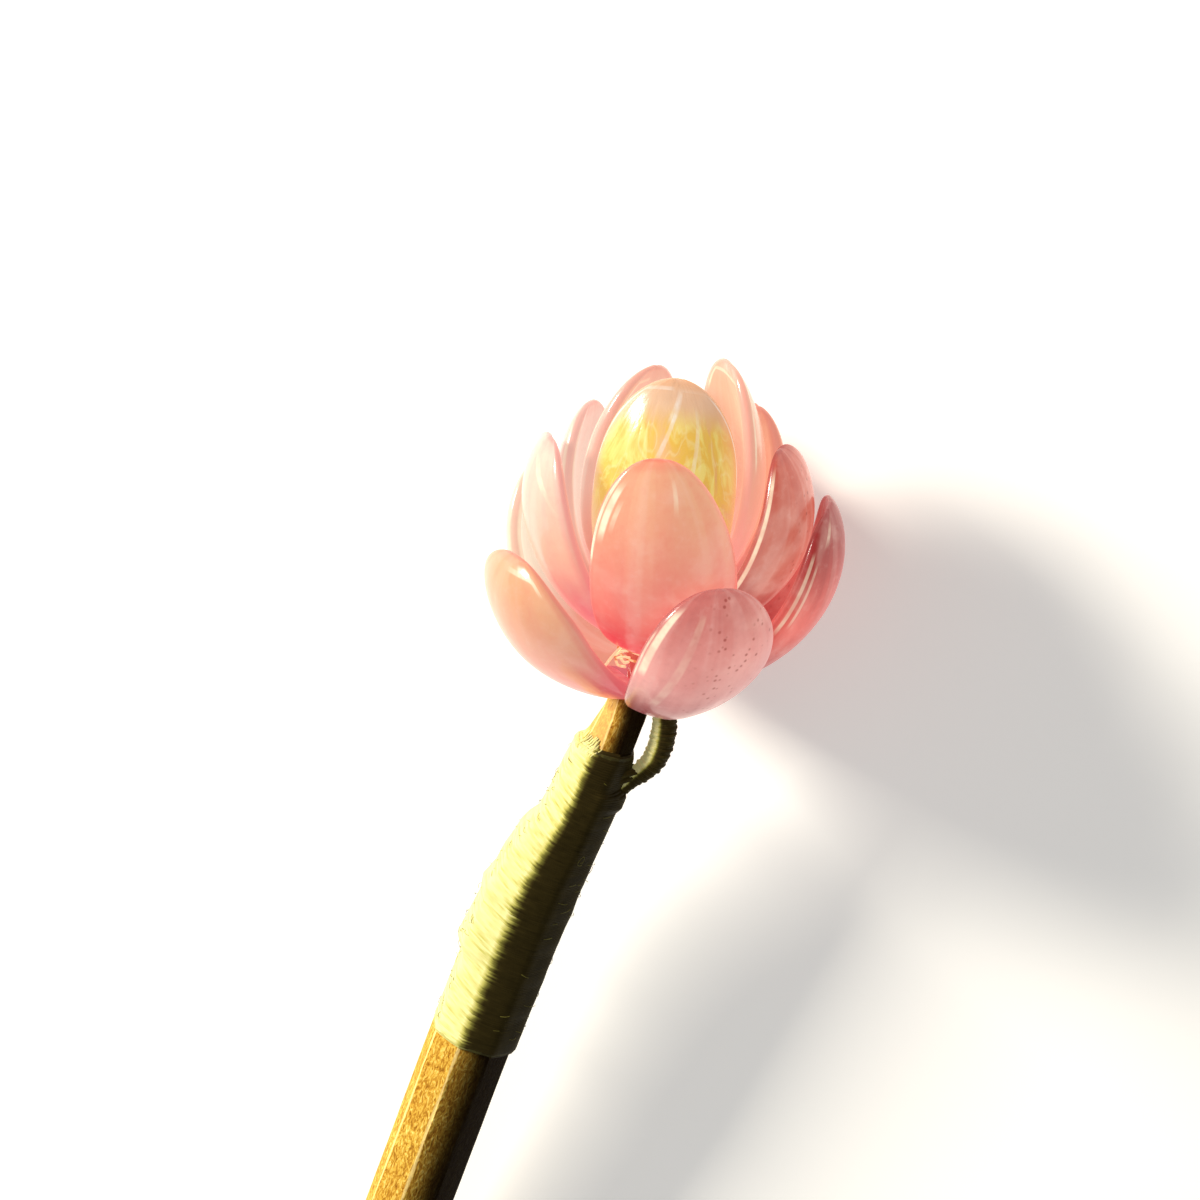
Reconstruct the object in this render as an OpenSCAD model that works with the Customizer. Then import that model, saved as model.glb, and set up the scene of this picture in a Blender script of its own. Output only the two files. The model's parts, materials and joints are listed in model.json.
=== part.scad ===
// Hair stick: an eight-sided wooden stick, and a glass lotus on a silk-wound wire stem
// that is bound to the stick's head. It lies on two of its petals and on its point.
// Millimetres. +X runs along the stick towards the flower, and +Z is up.
// Everything is drawn along the stick's own axis first, then laid down at the end.

/* [Stick] */
// Length of the wooden stick, from its point to the flower's side of its head, which all
// distances along the stick are measured from. A short slanted end lies beyond it.
stick_length = 165; // [150:1:180]
// Width across the flats where the stick is thickest
stick_width = 8.1; // [7.8:0.1:8.4]
// Width across the flats at the blunt point
point_width = 3.2; // [3:0.1:4]
// Angle of the flats round the stick's axis
flat_turn = 12; // [6:1:18]

/* [Winding] */
// Where the winding starts and ends, measured back from the head
winding_from = 39.3; // [39.2:0.1:41]
winding_to = 4.3; // [3.9:0.1:4.4]
// Thickness of the wound silk over the flats
silk_thickness = 0.45; // [0.4:0.01:0.5]

/* [Stem] */
// Diameter of the silk-wound stem
stem_diameter = 2.3; // [2:0.1:2.4]

/* [Flower] */
// Angle of the flower away from the stick, sideways
flower_turn = 14; // [13:0.1:15]
// Angle of the flower away from the stick, upwards
flower_lift = 4.6; // [3.5:0.1:5.5]
// Thickness of a glass petal at its middle
petal_thickness = 1.8; // [1.6:0.1:1.9]

/* [Hidden] */
// The flower's base, from the stick's head: beyond it, and sideways
seat = [stick_length + 1.9, -3.15, 0];

// Glass petals, ring by ring. The azimuth is the way a petal points, where 0 is up and
// 90 is to the right of someone who looks along the stick from its point. The belly is
// the radius where the petal stands out most. Skew leans the tip to one side, and roll
// turns one long edge out and the other in, so that neighbours overlap. The root is the
// root's width as a share of the petal's, and a lower blunt makes a broader tip.
OUTER_PETALS = [
    // azimuth, root_h, belly, tip_r, tip_h, half_w, cup, skew, roll, sag, root, blunt
    [  31,      1.6,    17.0,  15.6,  18.4,  7.7,   9.5, -1.0,   0, -2.2, 0.14, 0.42],
    [  96,      2.4,    18.0,  16.2,  22.4,  8.0,   8.7,  0.0,   8, -0.8, 0.11, 0.28],
    [ 155,      3.5,    17.2,  15.6,  22.5,  7.1,   8.5,  0.0,   0,  0.2, 0.14, 0.50],
    [ 213,      1.6,    17.4,  16.0,  21.5,  7.1,   8.5,  0.0,   0, -0.4, 0.14, 0.50],
    [ 252,      3.4,    14.9,  13.4,  22.4,  6.8,   9.5,  0.0,   5,  0.3, 0.14, 0.50],
    [ 311,      1.6,    17.4,  16.8,  17.8,  8.4,   9.5,  0.0,   0,  0.1, 0.19, 0.46],
];
MIDDLE_PETALS = [
    [  15,      6.9,    15.9,  13.0,  30.6,  8.0,   9.0, -3.4,   0, -0.5, 0.12, 0.46],
    [  87,      8.0,    15.7,  10.6,  28.2,  6.9,   9.0,  0.3,  14, -0.8, 0.12, 0.48],
    [ 128,      9.4,    12.3,   9.8,  30.0,  7.0,   9.0,  0.0,   0,  0.7, 0.12, 0.50],
    [ 185,      7.0,    14.2,  12.0,  28.6,  7.4,   9.0,  0.0,   0,  0.8, 0.12, 0.50],
    [ 253,      8.8,    11.0,   8.7,  29.4,  6.8,   8.5,  0.0,   0,  1.2, 0.12, 0.50],
    [ 285,      7.0,    13.8,  11.8,  27.7,  7.4,   9.0,  1.0,  -5,  0.8, 0.12, 0.45],
];
INNER_PETALS = [
    [   5,     11.0,     7.4,   1.6,  34.5,  8.9,   6.8,  0.0,   0,  3.0, 0.12, 0.55],
    [ 118,     11.3,     9.7,   5.2,  35.4,  7.3,   8.2, -0.2,   0,  2.9, 0.12, 0.42],
    [ 233,     11.0,     8.6,   3.0,  34.2,  6.9,   7.6,  0.0,   0,  3.0, 0.12, 0.55],
];
// What the petals of one ring share. Two handles bend the midrib: each is a share of the
// belly's radius, and the second also a rise above the root.
OUTER_RING = [
    // root_r, widest, handle_1, handle_2, rise
    2.05, 0.60, 0.56, 1.17, 8.2];
MIDDLE_RING = [
    2.05, 0.60, 0.52, 1.19, 10.0];
INNER_RING = [
    2.45, 0.64, 0.80, 1.26, 12.0];

// The stick's sections, measured back from its head: width across the flats sideways and
// upwards, as shares of its width, and how far the section lies to the left. The head's
// left side is cut away.
STICK = [
    // back, sideways, upwards, left
    [ -1.2,   0.50,  0.50, -2.225],
    [  0.7,  0.535,  0.56, -2.18],
    [  4.2,   0.60,  0.70, -1.78],
    [  4.6,  0.655,  0.72, -1.55],
    [  7.6,   0.66,  0.79, -1.37],
    [ 10.8,   0.68,  0.85, -1.25],
    [ 13.3,   0.72,  0.89, -1.06],
    [ 16.6,   0.84,  0.94, -0.53],
    [ 18.6,   0.91,  0.96, -0.18],
    [ 22.6,   0.99,  0.99,  0.15],
    [ 38.4,   0.965, 0.99,  0.20],
    [ 39.5,   1.00,  1.00,  0.34],
    [ 60.0,   1.00,  1.00,  0.10],
    [ 95.0,   0.89,  0.89,  0.00],
    [130.0,   0.71,  0.71,  0.00],
    [152.0,   0.53,  0.53,  0.00],
];
// The winding's uneven outside: extra silk on the left and on the right
WINDING = [
    // back, left, right
    [winding_to,      -0.25, -0.10],
    [  4.6, -0.15, 0.00],
    [  7.6,  0.00, 0.00],
    [  8.1,  0.00, 0.00],
    [  8.7,  0.00, 0.80],
    [  9.9,  0.00, 0.80],
    [ 10.6,  0.00, 0.45],
    [ 13.3,  0.00, 0.35],
    [ 14.4,  0.35, 0.30],
    [ 15.4,  0.48, 0.25],
    [ 16.6,  0.30, 0.20],
    [ 18.6,  0.15, 0.20],
    [ 20.6,  0.05, 0.10],
    [ 22.6,  0.40, 0.15],
    [ 24.2,  0.12, 0.05],
    [ 27.3,  0.49, 0.00],
    [ 29.4,  0.72, 0.00],
    [ 30.4, -0.12, 0.05],
    [ 34.6, -0.12, 0.00],
    [ 38.6, -0.10, 0.05],
    [winding_from, -0.25, 0.00],
];
// The stem's path from the winding to the flower's base, measured on from the head
STEM = [
    // on, left, share of the stem's radius
    [ -7.5, -5.17, 0.52],
    [ -6.7, -5.47, 0.66],
    [ -5.7, -6.00, 0.85],
    [ -4.0, -6.68, 0.97],
    [ -2.0, -6.70, 1.00],
    [ -0.4, -6.40, 1.00],
    [  0.6, -6.05, 0.92],
    [  1.2, -5.60, 0.82],
    [  1.3, -5.00, 0.70],
];
// Half width of the yellow heart at heights above the flower's base
HEART = [
    // height, radius
    [12.6, 2.0],
    [14.0, 3.2],
    [16.5, 4.4],
    [19.5, 5.0],
    [22.5, 5.1],
    [25.5, 4.5],
    [28.2, 3.4],
    [30.2, 2.1],
    [31.3, 0.9],
];
heart_lobes = 5;
lobe_depth = 0.16;
// The post of twisted wires: its height, and a thicker knot that the middle petals rest on
post_radius = 1.75;
post_height = 12.4;
knot_from = 4.4;
knot_height = 1.5;
knot_extra = 0.6;
// Turns of copper wire round the petals' roots
tie_wire = 0.64;
TIE_TURNS = [
    // clear of the post, height
    [1.02, 4.75],
    [1.20, 5.20],
    [0.98, 5.65],
];
// How round the silk lies over the wood's corners, from 0 to 1, and its clearance on the wood
silk_rounding = 0.45;
silk_gap = 0.05;

petal_steps = 13;
petal_sides = 16;
winding_sides = 24;
stem_sides = 12;
heart_sides = 30;

function mix(a, b, k) = a + (b - a) * k;
function unit(v) = v / norm(v);
function sum(v, i = 0) = i < len(v) ? v[i] + sum(v, i + 1) : 0;
function middle(points) = [for (k = [0:2]) sum([for (p = points) p[k]]) / len(points)];
function spin(p, a) = [p[0] * cos(a) - p[1] * sin(a), p[0] * sin(a) + p[1] * cos(a), p[2]];

// A table's row at a place between its rows, where the first column is the place
function row_at(table, x, i = 0) = i > len(table) - 2 ? table[len(table) - 1]
    : x <= table[i + 1][0]
    ? mix(table[i], table[i + 1], max(0, (x - table[i][0]) / (table[i + 1][0] - table[i][0])))
    : row_at(table, x, i + 1);

// A point and a direction on a cubic curve with four handles
function curve(p, t) = pow(1 - t, 3) * p[0] + 3 * t * pow(1 - t, 2) * p[1]
    + 3 * t * t * (1 - t) * p[2] + pow(t, 3) * p[3];
function curve_way(p, t) = unit(pow(1 - t, 2) * (p[1] - p[0])
    + 2 * t * (1 - t) * (p[2] - p[1]) + t * t * (p[3] - p[2]));

// A petal's midrib, as radius and height, from its root to its tip
function midrib(row, ring) = [
    [ring[0], row[1]],
    [row[2] * ring[2], row[1] + row[9]],
    [row[2] * ring[3], row[1] + ring[4]],
    [row[3], row[4]]];

// Half width along the petal, as a share of its widest, which lies at the same share of
// the length in a whole ring
function petal_spread(row, widest, t) = t < widest
    ? mix(row[10], 1, pow(1 - pow(1 - t / widest, 2), 0.8))
    : pow(1 - pow((t - widest) / (1 - widest), 2.2), row[11]);

// The closed section of a petal at t, in the flower's frame
function petal_section(row, ring, t) = let (
    rib = midrib(row, ring),
    at = curve(rib, t),
    way = curve_way(rib, t),
    half_w = row[5] * petal_spread(row, ring[1], t),
    half_t = petal_thickness / 2 * sqrt(1 - pow(t, 14)) * mix(0.8, 1, min(1, t * 2)),
    cup = row[6],
    roll = row[8] * min(1, t * 3))
    [for (j = [0:petal_sides - 1]) let (
        u = 360 * j / petal_sides,
        bend = cos(u) * half_w / cup * 180 / PI,
        off = cup + half_t * sign(sin(u)) * pow(abs(sin(u)), 0.6),
        side = off * sin(bend),
        out = off * cos(bend) - cup,
        turned_side = side * cos(roll) - out * sin(roll),
        turned_out = side * sin(roll) + out * cos(roll))
        spin([at[0] + turned_out * way[1],
            turned_side + row[7] * t * t,
            at[1] - turned_out * way[0]], row[0])];

// Petal sections stand closer together towards the tip
function petal_place(i) = 1 - pow(1 - i / petal_steps, 1.5);
function petal_rings(row, ring) =
    [for (i = [0:petal_steps - 1]) petal_section(row, ring, petal_place(i))];
function petal_tip(row, ring) = spin([row[3], row[7], row[4]], row[0]);
function petal_points(row, ring) =
    concat([for (s = petal_rings(row, ring)) each s], [petal_tip(row, ring)]);

// The stick's section at a distance back from its head
point_share = point_width / stick_width;
STICK_TO_POINT = concat(STICK, [
    [stick_length - 1.2, point_share, point_share, 0],
    [stick_length, 0.6 * point_share, 0.6 * point_share, 0]]);
// The bare head's flats turn to the left towards its end, which is cut at a slant
head_twist = -16;
head_length = 4.2;
head_slant = 0.2;
// A section's own shape: 1 at the middle of a flat, more at a corner
function flat_reach(a, round) = let (
    off = (a - flat_turn + 720) % 45,
    dev = off > 22.5 ? 45 - off : off)
    1 + (1 / cos(dev) - 1) * (1 - round);
function stick_point(back, a, round, extra, twist = 0) = let (
    row = row_at(STICK_TO_POINT, back),
    reach = flat_reach(a - twist, round))
    [stick_length - back,
        row[3] - (row[1] * stick_width / 2 + extra) * reach * sin(a),
        (row[2] * stick_width / 2 + extra) * reach * cos(a)];
stick_rings = [for (row = STICK_TO_POINT) let (
    twist = head_twist * max(0, 1 - row[0] / head_length),
    slant = row[0] < 0 ? head_slant : 0)
    [for (j = [0:7]) let (a = flat_turn + 22.5 + 45 * j + twist)
        stick_point(row[0], a, 0, 0, twist) + [slant * cos(a), 0, 0]]];

// The flower's own axes in the stick's frame
flower_x = [-sin(flower_lift) * cos(flower_turn), -sin(flower_lift) * sin(flower_turn),
    cos(flower_lift)];
flower_y = [sin(flower_turn), -cos(flower_turn), 0];
flower_z = [cos(flower_lift) * cos(flower_turn), cos(flower_lift) * sin(flower_turn),
    sin(flower_lift)];
function petal_on_stick(row, ring) = [for (p = petal_points(row, ring))
    seat + p[0] * flower_x + p[1] * flower_y + p[2] * flower_z];

// The rest: the way down is square to the plane through the lowest point of two outer
// petals and of the stick. It is found in a few rounds, since each plane moves the points.
left_foot = petal_on_stick(OUTER_PETALS[3], OUTER_RING);
right_foot = petal_on_stick(OUTER_PETALS[2], OUTER_RING);
stick_points = [for (s = stick_rings) each s];
function lowest(points, down) = let (
    depths = [for (p = points) p * down],
    deepest = max(depths))
    [for (i = [0:len(points) - 1]) if (depths[i] == deepest) points[i]][0];
function way_down(down, rounds) = rounds == 0 ? down : let (
    foot = lowest(stick_points, down),
    square = unit(cross(lowest(left_foot, down) - foot, lowest(right_foot, down) - foot)))
    way_down(square * down > 0 ? square : -square, rounds - 1);
world_z = -way_down([0, 0, -1], 6);
world_x = unit([1, 0, 0] - world_z[0] * world_z);
world_y = cross(world_z, world_x);
every_point = concat(stick_points,
    [for (row = OUTER_PETALS) each petal_on_stick(row, OUTER_RING)],
    [for (row = MIDDLE_PETALS) each petal_on_stick(row, MIDDLE_RING)],
    [for (row = INNER_PETALS) each petal_on_stick(row, INNER_RING)]);
function reach_along(way) = let (d = [for (p = every_point) p * way]) [min(d), max(d)];
reach_x = reach_along(world_x);
reach_y = reach_along(world_y);
reach_z = reach_along(world_z);
origin = [(reach_x[0] + reach_x[1]) / 2, (reach_y[0] + reach_y[1]) / 2, reach_z[0]];

// Joins sections of equal size into one solid. The last section closes on a tip if one is
// given, and on its own middle if not.
module skin(sections, tip = undef) {
    n = len(sections[0]);
    m = len(sections);
    points = concat([for (s = sections) each s],
        [middle(sections[0]), tip == undef ? middle(sections[m - 1]) : tip]);
    sides = [for (i = [0:m - 2], j = [0:n - 1]) each let (
        a = i * n + j,
        b = i * n + (j + 1) % n)
        [[a, b, b + n], [a, b + n, a + n]]];
    ends = [for (j = [0:n - 1]) each let (k = (j + 1) % n)
        [[m * n, k, j], [m * n + 1, (m - 1) * n + j, (m - 1) * n + k]]];
    polyhedron(points, concat(sides, ends), convexity = 4);
}

// Joins an outer and an inner row of sections into one open sleeve
module sleeve(outer, inner) {
    n = len(outer[0]);
    m = len(outer);
    points = concat([for (s = outer) each s], [for (s = inner) each s]);
    walls = [for (i = [0:m - 2], j = [0:n - 1]) each let (
        a = i * n + j,
        b = i * n + (j + 1) % n,
        c = a + m * n,
        d = b + m * n)
        [[a, b, b + n], [a, b + n, a + n], [c, d + n, d], [c, c + n, d + n]]];
    ends = [for (j = [0:n - 1]) each let (
        k = (j + 1) % n,
        e = (m - 1) * n)
        [[j, m * n + k, k], [j, m * n + j, m * n + k],
        [e + j, e + k, m * n + e + k], [e + j, m * n + e + k, m * n + e + j]]];
    polyhedron(points, concat(walls, ends), convexity = 4);
}

module petal(row, ring) {
    in_flower() color([0.93, 0.6, 0.57])
        skin(petal_rings(row, ring), petal_tip(row, ring));
}

module stick() {
    color([0.55, 0.36, 0.16]) skin(stick_rings);
}

module winding() {
    backs = [for (w = WINDING) w[0]];
    angles = [for (j = [0:winding_sides - 1])
        flat_turn + 22.5 + 360 * j / winding_sides];
    outer = [for (b = backs) let (w = row_at(WINDING, b))
        [for (a = angles) stick_point(b, a, silk_rounding, silk_thickness
            + (sin(a) > 0 ? w[2] : w[1]) * pow(abs(sin(a)), 2))]];
    inner = [for (b = backs) [for (a = angles) stick_point(b, a, 0, silk_gap)]];
    color([0.5, 0.47, 0.2]) sleeve(outer, inner);
}

function bend_way(i) = let (
    a = STEM[max(0, i - 1)],
    b = STEM[min(len(STEM) - 1, i + 1)])
    [b[0] - a[0], b[1] - a[1], b[2] - a[2]];
// Points between the rows of the stem's table, on a smooth line through all of them
function stem_at(s) = let (
    i = min(floor(s), len(STEM) - 2),
    t = s - i,
    p = STEM[i],
    q = STEM[i + 1],
    scale_a = i == 0 ? 1 : 0.5,
    scale_b = i == len(STEM) - 2 ? 1 : 0.5)
    curve([p, p + bend_way(i) * scale_a / 3, q - bend_way(i + 1) * scale_b / 3, q], t);

module stem() {
    count = (len(STEM) - 1) * 3;
    color([0.55, 0.52, 0.25]) skin([for (i = [0:count]) let (
        s = i / 3,
        here = stem_at(s),
        ahead = stem_at(min(len(STEM) - 1, s + 0.05)),
        behind = stem_at(max(0, s - 0.05)),
        way = unit([ahead[0] - behind[0], ahead[1] - behind[1]]),
        r = stem_diameter / 2 * here[2])
        [for (j = [0:stem_sides - 1]) let (u = -360 * j / stem_sides)
            [stick_length + here[0] - way[1] * r * cos(u),
                here[1] + way[0] * r * cos(u),
                r * sin(u)]]]);
}

module wire_core() {
    in_flower() color([0.6, 0.4, 0.2]) {
        cylinder(h = post_height, r = post_radius, $fn = 32);
        translate([0, 0, knot_from])
            cylinder(h = knot_height, r = post_radius + knot_extra, $fn = 32);
    }
}

module wire_tie() {
    in_flower() color([0.85, 0.55, 0.3]) rotate_extrude($fn = 48)
        for (turn = TIE_TURNS)
            translate([post_radius + turn[0], turn[1]]) circle(d = tie_wire, $fn = 16);
}

module heart() {
    in_flower() color([0.95, 0.8, 0.35]) skin([for (row = HEART)
        [for (j = [0:heart_sides - 1]) let (
            a = -360 * j / heart_sides,
            r = row[1] * (1 - lobe_depth * pow(abs(sin(a * heart_lobes / 2)), 6)))
            [r * cos(a), r * sin(a), row[0]]]]);
}

module in_flower() {
    multmatrix([for (k = [0:2]) [flower_x[k], flower_y[k], flower_z[k], seat[k]]]) children();
}

// Lays the whole piece on its rest, with the middle of its underside at the origin
module laid() {
    multmatrix([
        [world_x[0], world_x[1], world_x[2], -origin[0]],
        [world_y[0], world_y[1], world_y[2], -origin[1]],
        [world_z[0], world_z[1], world_z[2], -origin[2]]]) children();
}

outer_names = [for (i = [1:len(OUTER_PETALS)]) str("petal_outer_", i)];
middle_names = [for (i = [1:len(MIDDLE_PETALS)]) str("petal_middle_", i)];
inner_names = [for (i = [1:len(INNER_PETALS)]) str("petal_inner_", i)];

laid() stick();
laid() winding();
laid() stem();
laid() wire_core();
laid() wire_tie();
laid() heart();
for (i = [0:len(OUTER_PETALS) - 1])
    laid() petal(OUTER_PETALS[i], OUTER_RING);
for (i = [0:len(MIDDLE_PETALS) - 1])
    laid() petal(MIDDLE_PETALS[i], MIDDLE_RING);
for (i = [0:len(INNER_PETALS) - 1])
    laid() petal(INNER_PETALS[i], INNER_RING);
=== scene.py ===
import json
import math

import bmesh
import bpy
import numpy as np
from mathutils import Matrix, Vector


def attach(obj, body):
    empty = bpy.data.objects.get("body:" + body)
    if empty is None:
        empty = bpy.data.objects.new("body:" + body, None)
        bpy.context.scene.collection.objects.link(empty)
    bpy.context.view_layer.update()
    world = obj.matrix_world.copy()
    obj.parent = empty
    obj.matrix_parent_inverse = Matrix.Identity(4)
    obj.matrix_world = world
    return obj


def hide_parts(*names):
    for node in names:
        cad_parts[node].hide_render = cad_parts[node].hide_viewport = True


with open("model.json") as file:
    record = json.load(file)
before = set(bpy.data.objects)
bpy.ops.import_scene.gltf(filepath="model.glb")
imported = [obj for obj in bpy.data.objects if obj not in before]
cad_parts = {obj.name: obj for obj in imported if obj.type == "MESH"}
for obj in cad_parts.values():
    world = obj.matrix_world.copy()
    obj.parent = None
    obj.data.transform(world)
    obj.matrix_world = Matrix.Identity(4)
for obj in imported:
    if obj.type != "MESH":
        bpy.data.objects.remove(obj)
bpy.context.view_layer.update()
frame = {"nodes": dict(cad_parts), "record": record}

# The view: a camera over the flower, a pale floor, one low warm lamp from the left and a soft
# sky. Places on the object are in millimetres along the stick from its point, to its left and
# above it, and on_stick() turns them into metres in the model's own frame.
mm = 0.001
shaft = next(m for m in frame["record"]["mounts"] if m["name"] == "hair_shaft")
stick_turn = math.radians(0.385)
point_at = np.array(shaft["pos_m"])
onward = -np.array(shaft["axis"])
level = np.cross((0, 0, 1), onward)
level /= np.linalg.norm(level)
raised = np.cross(onward, level)
leftward = level * math.cos(stick_turn) + raised * math.sin(stick_turn)
upward = raised * math.cos(stick_turn) - level * math.sin(stick_turn)
stick_ways = np.array([onward, leftward, upward])


def on_stick(places):
    """Metres in the model's frame, from millimetres along, left of and above the stick."""
    return point_at + np.asarray(places, float) * mm @ stick_ways


stick_length = 165.0
flower_seat = np.array([stick_length + 1.9, -3.15, 0.0])
camera_lean = math.radians(19)
camera_roll = math.radians(21.2)
camera_distance = 450.0
view_width = 120.0
seat_in_view = (4.2, -9.5)
towards = np.array([math.sin(camera_lean), 0, math.cos(camera_lean)])
ahead = np.array([math.cos(camera_lean), 0, -math.sin(camera_lean)])
rightward = np.array([0, -1.0, 0])
view_up = math.cos(camera_roll) * ahead - math.sin(camera_roll) * rightward
view_right = math.sin(camera_roll) * ahead + math.cos(camera_roll) * rightward
camera = bpy.data.objects.new("camera", bpy.data.cameras.new("camera"))
camera.data.lens = camera.data.sensor_width * camera_distance / view_width
camera_place = (flower_seat - seat_in_view[0] * view_right - seat_in_view[1] * view_up
                + camera_distance * towards)
camera_turn = np.array([view_right, view_up, towards]) @ stick_ways
camera.matrix_world = (Matrix.Translation(on_stick(camera_place))
                       @ Matrix(camera_turn.tolist()).transposed().to_4x4())
bpy.context.scene.collection.objects.link(camera)
bpy.context.scene.camera = camera
bpy.context.scene.view_settings.view_transform = "Standard"


def lamp(name, way, distance, width, power, colour, aim):
    """A square soft lamp that shines on a place of the stick from one way."""
    made = bpy.data.objects.new(name, bpy.data.lights.new(name, "AREA"))
    made.data.size = width * mm
    made.data.energy = power
    made.data.color = colour
    way = np.array(way, float) / np.linalg.norm(way)
    made.location = on_stick(np.array(aim) + way * distance)
    back = way @ stick_ways
    made.rotation_mode = "QUATERNION"
    made.rotation_quaternion = Vector(-back).to_track_quat("-Z", "Y")
    bpy.context.scene.collection.objects.link(made)


lamp("sun_lamp", way=(0.28, 0.88, 0.36), distance=800, width=200, power=12.5,
     colour=(1.0, 0.94, 0.82), aim=flower_seat + (-25, 0, 0))
lamp("sky_lamp", way=(-0.1, 0.45, 0.9), distance=900, width=900, power=1.4,
     colour=(0.94, 0.97, 1.0), aim=flower_seat + (-30, 0, 0))
world = bpy.data.worlds.new("sky")
world.use_nodes = True
world.node_tree.nodes["Background"].inputs["Color"].default_value = (0.95, 0.97, 1.0, 1)
world.node_tree.nodes["Background"].inputs["Strength"].default_value = 0.12
bpy.context.scene.world = world


class Signal:
    """One output of a node. Arithmetic adds Math nodes, and node() adds any other kind."""

    def __init__(self, tree, socket=None):
        self.tree = tree
        self.socket = socket

    def node(self, kind, settings=(), values=(), output=0):
        """Adds a node: its settings or a ramp's stops first, then its sockets' values or links."""
        made = self.tree.nodes.new(kind)
        for name, value in dict(settings).items():
            if name == "stops":
                while len(made.color_ramp.elements) < len(value):
                    made.color_ramp.elements.new(1)
                for stop, (place, colour) in zip(made.color_ramp.elements, value):
                    stop.position = place
                    stop.color = colour
            else:
                setattr(made, name, value)
        for name, value in dict(values).items():
            if isinstance(value, Signal):
                self.tree.links.new(value.socket, made.inputs[name])
            else:
                made.inputs[name].default_value = value
        return Signal(self.tree, made.outputs[output] if made.outputs else None)

    def also(self, output):
        """Another output of the same node."""
        return Signal(self.tree, self.socket.node.outputs[output])

    def math(self, operation, *values):
        """A Math node on these values."""
        return self.node("ShaderNodeMath", {"operation": operation}, enumerate(values))

    def __add__(self, other):
        return self.math("ADD", self, other)

    def __sub__(self, other):
        return self.math("SUBTRACT", self, other)

    def __rsub__(self, other):
        return self.math("SUBTRACT", other, self)

    def __mul__(self, other):
        return self.math("MULTIPLY", self, other)

    def __abs__(self):
        return self.math("ABSOLUTE", self)

    __radd__ = __add__
    __rmul__ = __mul__

    def mark(self, name):
        """A mark that the piece carries, such as how far along it a place lies."""
        return self.node("ShaderNodeAttribute", {"attribute_name": name}, output="Fac")

    def vector(self, **parts):
        """A vector of these X, Y and Z."""
        return self.node("ShaderNodeCombineXYZ", {}, parts)

    def ramp(self, *stops):
        """A colour from a ramp, where stops are places from 0 to 1 and their colours' codes."""
        painted = [(place, paint(code)) for place, code in stops]
        return self.node("ShaderNodeValToRGB", {"stops": painted}, {"Fac": self})

    def bump(self, strength, distance):
        """A surface that rises with this value, by up to this many metres."""
        return self.node("ShaderNodeBump", {}, {
            "Height": self, "Strength": strength, "Distance": distance})

    def rise(self, low, high):
        """Goes smoothly from 0 at low to 1 at high."""
        return self.node("ShaderNodeMapRange", {"interpolation_type": "SMOOTHSTEP"},
                         {"Value": self, "From Min": low, "From Max": high})

    def tint(self, low, high):
        """A colour between two, where this value is the share of the second."""
        return self.node("ShaderNodeMix", {"data_type": "RGBA"}, {0: self, 6: low, 7: high}, 2)


def paint(code):
    """A colour from its #rrggbb code."""
    levels = [int(code[k:k + 2], 16) / 255 for k in (1, 3, 5)]
    return tuple((v / 12.92 if v < 0.04045 else ((v + 0.055) / 1.055) ** 2.4) for v in levels) + (1,)


def new_finish(name):
    """A new material, and an empty signal in it to start from."""
    made = bpy.data.materials.new(name)
    made.use_nodes = True
    made.node_tree.nodes.clear()
    return made, Signal(made.node_tree)


def cover(start, values):
    """Ends a finish with its surface, where values are the surface's sockets."""
    surface = start.node("ShaderNodeBsdfPrincipled", {}, values)
    start.node("ShaderNodeOutputMaterial", {}, {"Surface": surface})


floor_half = 2.0
pale_floor, start = new_finish("pale_floor")
cover(start, {"Base Color": paint("#f4f2ee"), "Roughness": 0.7, "Specular IOR Level": 0.2,
              "Emission Color": paint("#fffdf8"), "Emission Strength": 0.4})
floor_mesh = bpy.data.meshes.new("floor")
floor_mesh.from_pydata([(-floor_half, -floor_half, 0), (floor_half, -floor_half, 0),
                        (floor_half, floor_half, 0), (-floor_half, floor_half, 0)], [], [(0, 1, 2, 3)])
floor_mesh.materials.append(pale_floor)
floor = bpy.data.objects.new("floor", floor_mesh)
bpy.context.scene.collection.objects.link(floor)

# The stick: carved from one piece of golden wood with short curly fibres, eight flats that
# taper to a blunt point, and a head that is cut away on its left and whose flats turn a little.
# The edges between the flats are worn to narrow bevels, pale with painted highlights except on the right;
# painted shade darkens the right side and painted light pales the head's left, and the whole is oiled.
stick_width = 8.1
point_width = 3.2
flat_turn = math.radians(12)
bevel_width = 0.34
crown = 0.02
STICK = np.array([
    # back, sideways, upwards, left
    [-1.2, 0.50, 0.50, -2.225],
    [0.7, 0.535, 0.56, -2.18],
    [4.2, 0.60, 0.70, -1.78],
    [4.6, 0.655, 0.72, -1.55],
    [7.6, 0.66, 0.79, -1.37],
    [10.8, 0.68, 0.85, -1.25],
    [13.3, 0.72, 0.89, -1.06],
    [16.6, 0.84, 0.94, -0.53],
    [18.6, 0.91, 0.96, -0.18],
    [22.6, 0.99, 0.99, 0.15],
    [38.4, 0.965, 0.99, 0.20],
    [39.5, 1.00, 1.00, 0.34],
    [60.0, 1.00, 1.00, 0.10],
    [95.0, 0.89, 0.89, 0.00],
    [130.0, 0.71, 0.71, 0.00],
    [152.0, 0.53, 0.53, 0.00],
    [stick_length - 1.2, point_width / stick_width, point_width / stick_width, 0],
    [stick_length, 0.6 * point_width / stick_width, 0.6 * point_width / stick_width, 0],
])


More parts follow.
